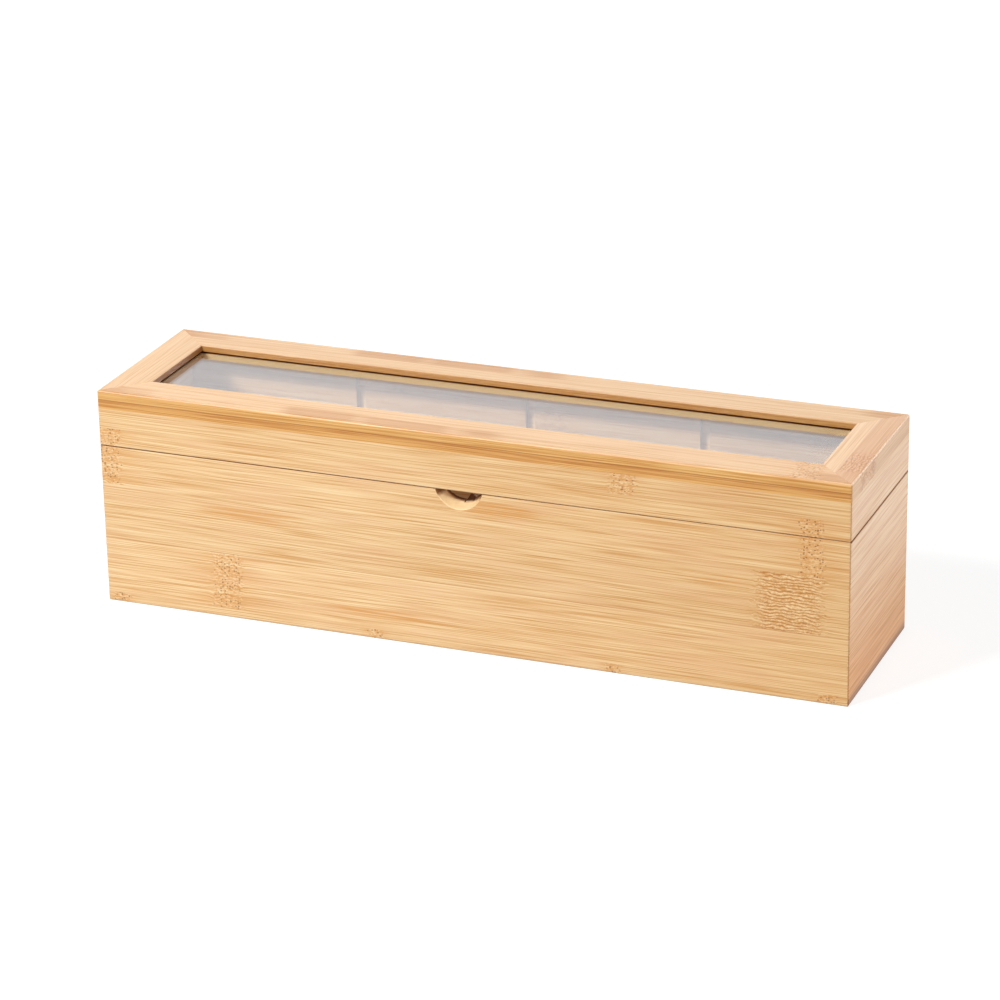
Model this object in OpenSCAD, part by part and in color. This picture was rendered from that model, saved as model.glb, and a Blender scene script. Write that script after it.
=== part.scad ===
// Tea bag organizer box of bamboo, with four compartments and a hinged lid that has a clear window.
// Millimetres. +X runs along the box, -Y is the front and +Z is up. The origin is the middle of the
// underside that the box rests on.

/* [Box] */
// Length of the box, from left to right
box_len = 338; // [280:2:400]
// Depth of the wooden box, from front to back
box_depth = 85; // [72:1:110]
// Height of the lower part, up to its rim
base_h = 73; // [60:0.5:90]
// Height of the lid, from its rim to the top of its frame
lid_h = 25; // [20:0.5:36]
// Gap between the two rims when the lid is shut
rim_gap = 0.2; // [0.1:0.05:0.5]

/* [Boards] */
// Thickness of the wall boards
wall_t = 8; // [6.5:0.5:10]
// Radius of the eased outer edges
edge_r = 1; // [0.4:0.2:2]
// Radius of the eased edges along both rims
rim_r = 0.4; // [0.2:0.1:0.6]

/* [Floor panel] */
// Thickness of the floor panel
panel_t = 4; // [3:0.5:6]
// Width of the rebate in the walls that holds the floor panel
rebate_w = 4; // [3:0.5:5]
// Gap around the edge of the floor panel in its rebate
panel_gap = 0.1; // [0.05:0.05:0.3]

/* [Dividers] */
// Thickness of each divider
divider_t = 4; // [3:0.5:6]
// Distance from the middle of one divider to the middle of the next
divider_pitch = 80; // [70:0.5:84]
// Distance of the middle divider from the middle of the box, to the right
divider_mid = 1.2; // [-6:0.2:6]
// Depth of the grooves in the front and back walls that hold the dividers
groove_deep = 3; // [2:0.5:4]
// Gap between a divider and each side and the end of its groove
groove_gap = 0.2; // [0.1:0.05:0.3]
// Distance from the rim down to the top of the dividers
divider_drop = 5; // [0.5:0.5:8]
// Radius of the eased top edges of the dividers
divider_r = 0.6; // [0.2:0.1:1]

/* [Lid frame] */
// Width of the frame rails, seen from above
rail_w = 18; // [14:0.5:24]
// Thickness of the frame rails
rail_t = 8; // [6:0.5:10]
// Radius of the eased edges around the window
window_r = 0.5; // [0.2:0.1:1]
// Thickness of the window pane
pane_t = 2; // [1.5:0.25:3]
// How far the pane reaches into the rails
pane_in = 5.5; // [3:0.5:7]
// Gap above the pane and at its edges in its groove
pane_gap = 0.5; // [0.1:0.05:0.6]

/* [Finger notch] */
// Radius of the notch in the front rim
notch_r = 10.8; // [9:0.2:14]
// Depth of the notch below the rim, at the front
notch_deep = 8; // [5:0.5:9]
// Angle by which the floor of the notch rises inwards
notch_tilt = 15; // [0:1:25]
// Distance of the notch from the middle of the front, to the right
notch_x = -1.4; // [-20:0.2:20]

/* [Hinges] */
// Width of each hinge, along the box
hinge_w = 26; // [22:1:36]
// Distance from each end of the box to the middle of its hinge
hinge_inset = 36; // [30:1:70]
// Thickness of the hinge leaves
leaf_t = 1; // [0.8:0.1:1.4]
// Wood left in front of each leaf in the rim
leaf_margin = 1; // [0.5:0.25:1.5]
// Outer radius of the hinge knuckles
knuckle_r = 2; // [1.8:0.1:2.6]
// Radius of the hinge pins
pin_r = 1; // [0.8:0.05:1.2]
// Radial play of each pin in the knuckles
pin_play = 0.04; // [0.02:0.01:0.08]
// Gap between neighbouring knuckles, and between a knuckle and the back of the box
knuckle_gap = 0.25; // [0.15:0.05:0.4]
// Share of the knuckle row that the lid's middle knuckle takes
middle_share = 0.38; // [0.3:0.02:0.45]
// Width of the stop tab at each end of a leaf
stop_w = 4; // [3:0.5:5]
// Length of the stop tabs behind the pin
stop_len = 3; // [2.6:0.2:4]
// Angle through which the lid opens, in degrees
lid_open = 100; // [90:1:120]

/* [Screws] */
// Radius of the screw shanks
screw_r = 0.9; // [0.7:0.05:1]
// Radius of the screw heads
head_r = 1.7; // [1.5:0.05:2]
// Height of the countersunk screw heads
head_h = 0.75; // [0.6:0.05:0.78]
// Length of the screws, with their heads
screw_len = 9; // [6:0.5:14]
// Length of the tapered point of each screw
point_len = 2.5; // [1.5:0.5:4]
// Distance between the two screws of a leaf
screw_gap = 13; // [10:0.5:16]
// Gap around a screw in its hole
hole_gap = 0.05; // [0.03:0.01:0.1]
// Width of the cross slots in the screw heads
cross_w = 0.4; // [0.3:0.05:0.6]
// Depth of the cross slots in the screw heads
cross_deep = 0.35; // [0.2:0.05:0.4]

/* [Hidden] */
$fn = 48;
// Past-the-surface allowance of every cut
cut = 1;

// Heights of the lid, counted from the underside of the box
lid_low = base_h + rim_gap;
box_top = lid_low + lid_h;
rail_low = box_top - rail_t;

// Inside of the walls and the places of the dividers
inner_len = box_len - 2 * wall_t;
inner_depth = box_depth - 2 * wall_t;
divider_x = [divider_mid - divider_pitch, divider_mid, divider_mid + divider_pitch];
groove_w = divider_t + 2 * groove_gap;

// The window groove is centred in the thickness of the rails
pane_low = rail_low + (rail_t - pane_t - pane_gap) / 2;
window_len = box_len - 2 * rail_w;
window_depth = box_depth - 2 * rail_w;

// The pin's axis lies behind the back wall, halfway up the gap between the rims
axis_out = knuckle_r + knuckle_gap;
axis_y = box_depth / 2 + axis_out;
axis_z = base_h + rim_gap / 2;
hinge_x = box_len / 2 - hinge_inset;
leaf_deep = wall_t - leaf_margin;
row_w = hinge_w - 2 * stop_w - 2 * knuckle_gap;
middle_w = middle_share * row_w;
outer_w = (row_w - middle_w) / 2 - knuckle_gap;
stop_angle = lid_open / 2;

// What a round cutter takes off the corner of a board at the 2D origin, with the wood towards +x, -y
module corner_cut(r) {
    difference() {
        translate([-cut, -r]) square([cut + r, r + cut]);
        translate([r, -r]) circle(r);
    }
}

// Cross-section of a board: its outer face is at x = 0, and y is height. Either outer edge may be eased
module board_section(wide, low, high, low_r, high_r) {
    difference() {
        translate([0, low]) square([wide, high - low]);
        if (high_r > 0) translate([0, high]) corner_cut(high_r);
        if (low_r > 0) translate([0, low]) mirror([0, 1]) corner_cut(low_r);
    }
}

// A board along X with its outer face at y = 0, mitred at 45 degrees at both ends
module mitred_board(long, wide) {
    intersection() {
        rotate([90, 0, 90]) linear_extrude(height = long, center = true) children();
        translate([0, 0, -cut]) linear_extrude(height = box_top + 2 * cut)
            polygon([[-long / 2, 0], [long / 2, 0], [long / 2 - wide, wide], [wide - long / 2, wide]]);
    }
}

// The outline of the box in plan, with its upright corners eased
module box_outline() {
    translate([0, 0, -cut]) linear_extrude(height = box_top + 2 * cut) union() {
        square([box_len - 2 * edge_r, box_depth], center = true);
        square([box_len, box_depth - 2 * edge_r], center = true);
        for (sx = [-1, 1]) for (sy = [-1, 1])
            translate([sx * (box_len / 2 - edge_r), sy * (box_depth / 2 - edge_r)]) circle(edge_r);
    }
}

// Turns a board drawn for the front to its own side of the box
module at_front() { intersection() { box_outline(); translate([0, -box_depth / 2, 0]) children(); } }
module at_back() {
    intersection() { box_outline(); translate([0, box_depth / 2, 0]) rotate([0, 0, 180]) children(); }
}
module at_left() {
    intersection() { box_outline(); translate([-box_len / 2, 0, 0]) rotate([0, 0, -90]) children(); }
}
module at_right() {
    intersection() { box_outline(); translate([box_len / 2, 0, 0]) rotate([0, 0, 90]) children(); }
}

// A wall of the lower part, rebated along its foot for the floor panel
module base_board(long) {
    difference() {
        mitred_board(long, wall_t) board_section(wall_t, 0, base_h, edge_r, rim_r);
        translate([-long / 2, wall_t - rebate_w, -cut]) cube([long, rebate_w + cut, panel_t + cut]);
    }
}

// A wall of the lid, below the frame
module lid_board(long) {
    mitred_board(long, wall_t) board_section(wall_t, lid_low, rail_low, rim_r, 0);
}

// The grooves for the dividers, cut up the whole inside of a long wall. A back wall is drawn with way = -1
module divider_grooves(way) {
    for (x = divider_x)
        translate([way * x - groove_w / 2, wall_t - groove_deep, panel_t])
            cube([groove_w, groove_deep + cut, box_top]);
}

// A rail of the lid frame, grooved for the pane and eased outside and at the window
module frame_rail(long) {
    difference() {
        mitred_board(long, rail_w) difference() {
            board_section(rail_w, rail_low, box_top, 0, edge_r);
            translate([rail_w, box_top]) mirror([1, 0]) corner_cut(window_r);
            translate([rail_w, rail_low]) rotate(180) corner_cut(window_r);
        }
        translate([-long / 2, rail_w - pane_in - pane_gap, pane_low])
            cube([long, pane_in + pane_gap + cut, pane_t + pane_gap]);
    }
}

// A half-round scoop across the front rim, whose floor rises inwards
module finger_scoop() {
    translate([notch_x, -box_depth / 2, base_h - notch_deep + notch_r / cos(notch_tilt)])
        rotate([notch_tilt - 90, 0, 0]) cylinder(r = notch_r, h = box_depth, center = true);
}

// Places its children at the middle of a hinge's pin
module at_hinge(side) { translate([side * hinge_x, axis_y, axis_z]) children(); }

// Places its children at both screws of a leaf, on the leaf's exposed face, pointing into the wood
module at_screws() {
    for (s = [-1, 1])
        translate([s * screw_gap / 2, -axis_out - leaf_deep / 2, -rim_gap / 2]) children();
}

// The pocket and the screw holes that a leaf needs in the wood
module leaf_pocket() {
    translate([-hinge_w / 2 - hole_gap, -axis_out - leaf_deep - hole_gap, -rim_gap / 2 - leaf_t])
        cube([hinge_w + 2 * hole_gap, leaf_deep + hole_gap + cut, leaf_t + rim_gap + cut]);
    at_screws() screw_body(hole_gap);
}

// A countersunk screw that points down from z = 0, grown all round by a gap
module screw_body(gap) {
    translate([0, 0, -head_h]) cylinder(r1 = screw_r + gap, r2 = head_r + gap, h = head_h);
    translate([0, 0, -screw_len + point_len]) cylinder(r = screw_r + gap, h = screw_len - point_len - head_h / 2);
    translate([0, 0, -screw_len - gap]) cylinder(r1 = screw_r / 4 + gap, r2 = screw_r + gap, h = point_len + gap);
}

// The screws of one leaf, with cross slots in their heads
module leaf_screws() {
    at_screws() difference() {
        screw_body(0);
        for (a = [0, 90])
            rotate([0, 0, a]) translate([-head_r * 0.7, -cross_w / 2, -cross_deep])
                cube([head_r * 1.4, cross_w, cross_deep + cut]);
    }
}

// The part of a leaf that runs back from the wood, over the given width about the given middle
module strap(x, w) {
    translate([x - w / 2, -axis_out - leaf_t, -rim_gap / 2 - leaf_t]) cube([w, axis_out + leaf_t, leaf_t]);
}

// A knuckle rolled round the pin, with its strap
module knuckle(x, w) {
    strap(x, w);
    translate([x - w / 2, 0, 0]) rotate([0, 90, 0]) cylinder(r = knuckle_r, h = w);
}

// A stop tab: the leaf runs to the pin and bends away from the other leaf by half the opening angle
module stop_tab(x) {
    face = -rim_gap / 2;
    bend = leaf_t * tan(stop_angle / 2);
    tip = [stop_len * cos(stop_angle), face - stop_len * sin(stop_angle)];
    translate([x - stop_w / 2, 0, 0]) rotate([90, 0, 90]) linear_extrude(height = stop_w) polygon([
        [-axis_out - leaf_t, face],
        [0, face],
        tip,
        tip - leaf_t * [sin(stop_angle), cos(stop_angle)],
        [-bend, face - leaf_t],
        [-axis_out - leaf_t, face - leaf_t],
    ]);
}

// A leaf that lies in the lower rim, with knuckles at the given places along the pin
module hinge_leaf(knuckles) {
    difference() {
        union() {
            translate([-hinge_w / 2, -axis_out - leaf_deep, -rim_gap / 2 - leaf_t])
                cube([hinge_w, leaf_deep, leaf_t]);
            for (k = knuckles) knuckle(k[0], k[1]);
            for (s = [-1, 1]) stop_tab(s * (hinge_w - stop_w) / 2);
        }
        rotate([0, 90, 0]) cylinder(r = pin_r + pin_play, h = row_w + knuckle_gap, center = true);
        at_screws() screw_body(hole_gap);
    }
}

outer_x = (row_w - outer_w) / 2;
module base_leaf(side) { color("goldenrod") at_hinge(side) hinge_leaf([[-outer_x, outer_w], [outer_x, outer_w]]); }
module lid_leaf(side) { color("goldenrod") at_hinge(side) mirror([0, 0, 1]) hinge_leaf([[0, middle_w]]); }
module hinge_pin(side) {
    color("gold") at_hinge(side) rotate([0, 90, 0]) cylinder(r = pin_r, h = row_w, center = true);
}

module base_front_wall() {
    color("burlywood") difference() {
        at_front() difference() { base_board(box_len); divider_grooves(1); }
        finger_scoop();
    }
}
module base_back_wall() {
    color("burlywood") difference() {
        at_back() difference() { base_board(box_len); divider_grooves(-1); }
        for (side = [-1, 1]) at_hinge(side) leaf_pocket();
    }
}
module base_left_wall() { color("tan") at_left() base_board(box_depth); }
module base_right_wall() { color("tan") at_right() base_board(box_depth); }

module floor_panel() {
    long = inner_len + 2 * (rebate_w - panel_gap);
    deep = inner_depth + 2 * (rebate_w - panel_gap);
    color("wheat") translate([-long / 2, -deep / 2, 0]) cube([long, deep, panel_t]);
}

// A divider stands on the floor panel, with its ends in the grooves
module divider(x) {
    deep = inner_depth + 2 * (groove_deep - groove_gap);
    tall = base_h - divider_drop - panel_t;
    color("navajowhite") translate([x, deep / 2, panel_t]) rotate([90, 0, 0])
        linear_extrude(height = deep) translate([-divider_t / 2, 0]) difference() {
            square([divider_t, tall]);
            translate([0, tall]) corner_cut(divider_r);
            translate([divider_t, tall]) mirror([1, 0]) corner_cut(divider_r);
        }
}

// The middle divider is scooped together with the front rim, so that it leaves the notch free
module middle_divider() {
    color("navajowhite") difference() { divider(divider_x[1]); finger_scoop(); }
}

module lid_front_wall() {
    color("burlywood") at_front() difference() { lid_board(box_len); divider_grooves(1); }
}
module lid_back_wall() {
    color("burlywood") difference() {
        at_back() difference() { lid_board(box_len); divider_grooves(-1); }
        for (side = [-1, 1]) at_hinge(side) mirror([0, 0, 1]) leaf_pocket();
    }
}
module lid_left_wall() { color("tan") at_left() lid_board(box_depth); }
module lid_right_wall() { color("tan") at_right() lid_board(box_depth); }

module frame_front_rail() { color("bisque") at_front() frame_rail(box_len); }
module frame_back_rail() { color("bisque") at_back() frame_rail(box_len); }
module frame_left_rail() { color("peachpuff") at_left() frame_rail(box_depth); }
module frame_right_rail() { color("peachpuff") at_right() frame_rail(box_depth); }

module window_pane() {
    long = window_len + 2 * pane_in;
    deep = window_depth + 2 * pane_in;
    color("lightcyan", 0.4) translate([-long / 2, -deep / 2, pane_low]) cube([long, deep, pane_t]);
}

module hinge_base_screws() { color("gold") for (side = [-1, 1]) at_hinge(side) leaf_screws(); }
module hinge_lid_screws() {
    color("gold") for (side = [-1, 1]) at_hinge(side) mirror([0, 0, 1]) leaf_screws();
}

base_front_wall();
base_back_wall();
base_left_wall();
base_right_wall();
floor_panel();
divider(divider_x[0]);  // divider_left
middle_divider();  // divider_middle
divider(divider_x[2]);  // divider_right
lid_front_wall();
lid_back_wall();
lid_left_wall();
lid_right_wall();
frame_front_rail();
frame_back_rail();
frame_left_rail();
frame_right_rail();
window_pane();
base_leaf(-1);  // hinge_base_leaf_left
base_leaf(1);  // hinge_base_leaf_right
lid_leaf(-1);  // hinge_lid_leaf_left
lid_leaf(1);  // hinge_lid_leaf_right
hinge_pin(-1);  // hinge_pin_left
hinge_pin(1);  // hinge_pin_right
hinge_base_screws();
hinge_lid_screws();
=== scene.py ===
"""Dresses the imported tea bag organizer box: bamboo boards, mitred lid frame, clear window, brass hinges.

Shapes are in metres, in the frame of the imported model: +X along the box, -Y to the front, +Z up. Every wooden
piece is a section carried along its board, with its place in its mesh. Finishes are laid out in millimetres.
"""

import logging
import math
from dataclasses import dataclass
from enum import Enum
from typing import Callable, Sequence

import bmesh
import bpy
import numpy as np
from mathutils import Matrix, Vector


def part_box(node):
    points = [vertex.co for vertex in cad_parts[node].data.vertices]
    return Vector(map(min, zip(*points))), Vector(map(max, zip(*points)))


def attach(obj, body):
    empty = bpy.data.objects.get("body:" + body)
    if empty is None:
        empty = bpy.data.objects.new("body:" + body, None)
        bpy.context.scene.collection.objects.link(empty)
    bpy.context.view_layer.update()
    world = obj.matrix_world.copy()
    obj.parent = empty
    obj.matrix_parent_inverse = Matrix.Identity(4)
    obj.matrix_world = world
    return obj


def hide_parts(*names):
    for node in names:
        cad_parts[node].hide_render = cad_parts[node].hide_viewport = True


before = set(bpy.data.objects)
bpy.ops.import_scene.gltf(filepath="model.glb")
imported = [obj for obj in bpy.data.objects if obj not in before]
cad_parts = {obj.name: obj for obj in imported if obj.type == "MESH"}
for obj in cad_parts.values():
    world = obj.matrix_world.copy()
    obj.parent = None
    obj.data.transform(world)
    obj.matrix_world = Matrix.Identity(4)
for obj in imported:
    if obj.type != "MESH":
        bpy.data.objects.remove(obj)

LOG = logging.getLogger("tea_box")
MM = 0.001
TINY = 1e-7

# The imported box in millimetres, for the materials, whose coordinates are in millimetres too.
HALF_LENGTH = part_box("base_right_wall")[1].x / MM
HALF_DEPTH = -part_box("base_front_wall")[0].y / MM
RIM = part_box("base_front_wall")[1].z / MM

# The lowest seam and the height of the strips that the walls are laminated from, in millimetres.
WALL_SEAM = 4.5
WALL_PITCH = 25.6

Colour = tuple[float, float, float, float]


def srgb(red: int, green: int, blue: int) -> Colour:
    """Gives a display colour, 0 to 255 a channel, as the linear colour that a shader takes."""
    channels = np.array([red, green, blue]) / 255
    low = channels / 12.92
    high = ((channels + 0.055) / 1.055) ** 2.4
    return (*np.where(channels <= 0.04045, low, high).tolist(), 1.0)


class Side(Enum):
    """The four sides of the box, each with the quarter turns about Z that bring the front there."""

    FRONT = 0
    RIGHT = 1
    BACK = 2
    LEFT = 3


LONG_SIDES = (Side.FRONT, Side.BACK)


class Grain(Enum):
    """How grain lies in a piece: rows take object axes to along the grain, across a strip, through it."""

    LONG_WALL = ((1, 0, 0), (0, 0, 1), (0, -1, 0))
    END_WALL = ((0, 1, 0), (0, 0, 1), (1, 0, 0))
    LONG_FLAT = ((1, 0, 0), (0, 1, 0), (0, 0, 1))
    SIDE_FLAT = ((0, 1, 0), (-1, 0, 0), (0, 0, 1))

    def turn(self) -> tuple[float, float, float]:
        """Gives the Euler angles for a Mapping node."""
        return tuple(Matrix(self.value).to_euler("XYZ"))


@dataclass(frozen=True)
class BoxSizes:
    """Sizes of the box in metres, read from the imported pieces, with the small eased radii as given."""

    length: float
    depth: float
    rim: float
    lid_low: float
    rail_low: float
    top: float
    wall: float
    rail: float
    panel: float
    groove_deep: float
    groove_wide: float
    grooves: tuple[float, ...]
    pockets: tuple[tuple[float, float], ...]
    pocket_deep: float
    pocket_high: float
    edge_r: float = 1.0 * MM
    rim_r: float = 0.4 * MM
    inner_r: float = 0.3 * MM
    window_r: float = 0.5 * MM
    mitre_cut: float = 0.12 * MM

    def span(self, side: Side) -> tuple[float, float]:
        """Gives half of a side's length, and how far its outer face lies from the middle of the box."""
        halves = self.length / 2, self.depth / 2
        return halves if side in LONG_SIDES else halves[::-1]

    @classmethod
    def from_frame(cls) -> "BoxSizes":
        """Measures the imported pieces."""
        wall_lo, wall_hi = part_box("base_front_wall")
        end_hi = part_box("base_right_wall")[1]
        lid_lo, lid_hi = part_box("lid_front_wall")
        rail_lo, rail_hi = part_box("frame_front_rail")
        panel_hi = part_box("floor_panel")[1]
        gap, slack = 0.2 * MM, 0.05 * MM
        dividers = [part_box(f"divider_{place}") for place in ("left", "middle", "right")]
        leaves = [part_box(f"hinge_base_leaf_{side}") for side in ("left", "right")]
        return cls(
            length=2 * end_hi.x,
            depth=-2 * wall_lo.y,
            rim=wall_hi.z,
            lid_low=lid_lo.z,
            rail_low=lid_hi.z,
            top=rail_hi.z,
            wall=wall_hi.y - wall_lo.y,
            rail=rail_hi.y - rail_lo.y,
            panel=panel_hi.z,
            groove_deep=dividers[0][1].y + wall_hi.y + gap,
            groove_wide=dividers[0][1].x - dividers[0][0].x + 2 * gap,
            grooves=tuple((lo.x + hi.x) / 2 for lo, hi in dividers),
            pockets=tuple((lo.x - slack, hi.x + slack) for lo, hi in leaves),
            pocket_deep=-wall_lo.y - leaves[0][0].y + slack,
            pocket_high=1.0 * MM,
        )


@dataclass(frozen=True)
class Notch:
    """The half-round scoop in the front rim, whose floor rises inwards."""

    centre: float = -1.4 * MM
    radius: float = 10.8 * MM
    deep: float = 8.0 * MM
    tilt: float = math.radians(15)
    ease: float = 0.25 * MM

    def floor(self, x: np.ndarray, inwards: np.ndarray, rim: float) -> np.ndarray:
        """Gives the height of the scooped rim.

        The scoop is a cylinder tilted inwards: its lowest line is rim - deep + inwards * tan(tilt), and it
        rises by the circle of its radius beside that. A soft minimum joins it to the flat rim.

        Args:
            x: places along the box.
            inwards: depths behind the front face.
            rim: height of the flat rim.
        Returns:
            The height at each place.
        """
        steep = 10
        aside = np.abs(x - self.centre)
        round_part = np.sqrt(np.maximum(self.radius**2 - aside**2, 0)) / math.cos(self.tilt)
        beyond = steep * np.maximum(aside - self.radius, 0)
        axis = rim - self.deep + self.radius / math.cos(self.tilt) + inwards * math.tan(self.tilt)
        scoop = axis - round_part + beyond
        return -self.ease * np.logaddexp(-scoop / self.ease, -rim / self.ease)

    def stations(self) -> np.ndarray:
        """Gives places along the box at even angles round the scoop, closer at its two edges."""
        widest, edge_span = 74, (0.965, 1.06)
        around = np.sin(np.radians(np.linspace(-widest, widest, 38)))
        edge = np.linspace(*edge_span, 16)
        return self.centre + self.radius * np.concatenate((-edge[::-1], around, edge))


def arc(centre: tuple[float, float], radius: float, start: float, end: float, steps: int = 5) -> np.ndarray:
    """Gives steps + 1 points on a circle from one angle to another, both in degrees."""
    angle = np.radians(np.linspace(start, end, steps + 1))
    return np.stack((centre[0] + radius * np.cos(angle), centre[1] + radius * np.sin(angle)), 1)


def inward(section: np.ndarray) -> np.ndarray:
    """Gives a unit vector into the wood at each point of a closed outline, square to its neighbours' line."""
    ahead = np.roll(section, -1, 0) - np.roll(section, 1, 0)
    normal = np.stack((-ahead[:, 1], ahead[:, 0]), 1)
    normal /= np.maximum(np.linalg.norm(normal, axis=1, keepdims=True), TINY)
    area = np.sum(section[:, 0] * np.roll(section[:, 1], -1) - np.roll(section[:, 0], -1) * section[:, 1])
    return normal * math.copysign(1.0, area)


def place_on(side: Side, along: np.ndarray, inwards: np.ndarray, z: np.ndarray, reach: float) -> np.ndarray:
    """Turns a board drawn at the front, with its outer face at a reach from the middle, to its side.

    Args:
        side: the side of the box.
        along: places along the board.
        inwards: depths behind its outer face.
        z: heights.
        reach: distance of the outer face from the middle of the box.
    Returns:
        Points, one row of three for each place.
    """
    x, y = along, inwards - reach
    turns = {Side.FRONT: (x, y), Side.RIGHT: (-y, x), Side.BACK: (-x, -y), Side.LEFT: (y, -x)}
    return np.stack((*turns[side], z), -1)


def new_piece(name: str, points: list, faces: list) -> bpy.types.Object:
    """Makes an object of points and faces in the scene."""
    mesh = bpy.data.meshes.new(name)
    mesh.from_pydata(points, [], faces)
    made = bpy.data.objects.new(name, mesh)
    bpy.context.scene.collection.objects.link(made)
    return made


def smooth_up_to(mesh: bpy.types.Mesh, angle: float) -> None:
    """Shades a mesh smooth, with sharp edges past an angle in degrees."""
    mesh.polygons.foreach_set("use_smooth", np.ones(len(mesh.polygons), bool))
    mesh.set_sharp_from_angle(angle=math.radians(angle))


def skin(name: str, stations: np.ndarray, smooth: float = 30) -> bpy.types.Object:
    """Makes a closed piece from stations of a closed section.

    Point (i, j) is joined to (i, j + 1), (i + 1, j + 1) and (i + 1, j), with j going round the section, and
    the first and last sections are its end faces. Points that coincide are merged, faces of no size are
    dropped, and the faces are turned outwards.

    Args:
        name: the piece's name.
        stations: points by station, place in the section, and axis.
        smooth: the angle in degrees past which an edge stays sharp.
    Returns:
        The new object.
    """
    rows, columns = stations.shape[:2]
    index = np.arange(rows * columns).reshape(rows, columns)
    beside = np.roll(index, -1, 1)
    quads = np.stack((index[:-1], beside[:-1], beside[1:], index[1:]), -1).reshape(-1, 4)
    faces = quads.tolist() + [index[0, ::-1].tolist(), index[-1].tolist()]
    made, same_place = new_piece(name, stations.reshape(-1, 3).tolist(), faces), 2e-6
    work = bmesh.new()
    work.from_mesh(made.data)
    bmesh.ops.remove_doubles(work, verts=work.verts, dist=same_place)
    bmesh.ops.dissolve_degenerate(work, edges=work.edges, dist=same_place)
    bmesh.ops.recalc_face_normals(work, faces=work.faces)
    work.to_mesh(made.data)
    work.free()
    smooth_up_to(made.data, smooth)
    return made


def mitred_ends(
    section: np.ndarray, half: float, radius: float, cut: float, clear: float
) -> tuple[np.ndarray, np.ndarray, np.ndarray]:
    """Works out the stations of a board's left end, on the 45 degree mitre.

    A point at depth d behind the outer face starts at -half + d, and the outer face follows the eased upright
    corner, a circle of the given radius. The first station is drawn into the wood by the small mitre cut.

    Args:
        section: depths and heights of the section.
        half: half of the board's length.
        radius: radius of the eased upright corner.
        cut: the width of the fine line left along the mitre.
        clear: how far past the deepest point the end stations reach.
    Returns:
        Places along the board, depths and heights, by station and place in the section.
    """
    swing = np.radians(np.linspace(45, 90, 6))
    corner = radius * (math.cos(math.pi / 4) - np.cos(swing))
    offset = np.concatenate(([0, cut], corner[corner > cut], [corner[-1] + 2 * cut]))[:, None]
    pulled = section + inward(section) * cut
    depth = np.where(offset > 0, section[None, :, 0], pulled[None, :, 0])
    height = np.where(offset > 0, section[None, :, 1], pulled[None, :, 1])
    along = np.maximum(depth, (1 - math.sqrt(0.5)) * radius) + offset
    short = np.clip(radius - along, 0, radius)
    depth = np.maximum(depth, radius - np.sqrt(radius**2 - short**2))
    last = np.full((1, len(section)), section[:, 0].max() + clear)
    along = np.concatenate((along, last)) - half
    return along, np.concatenate((depth, section[None, :, 0])), np.concatenate((height, section[None, :, 1]))


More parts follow.
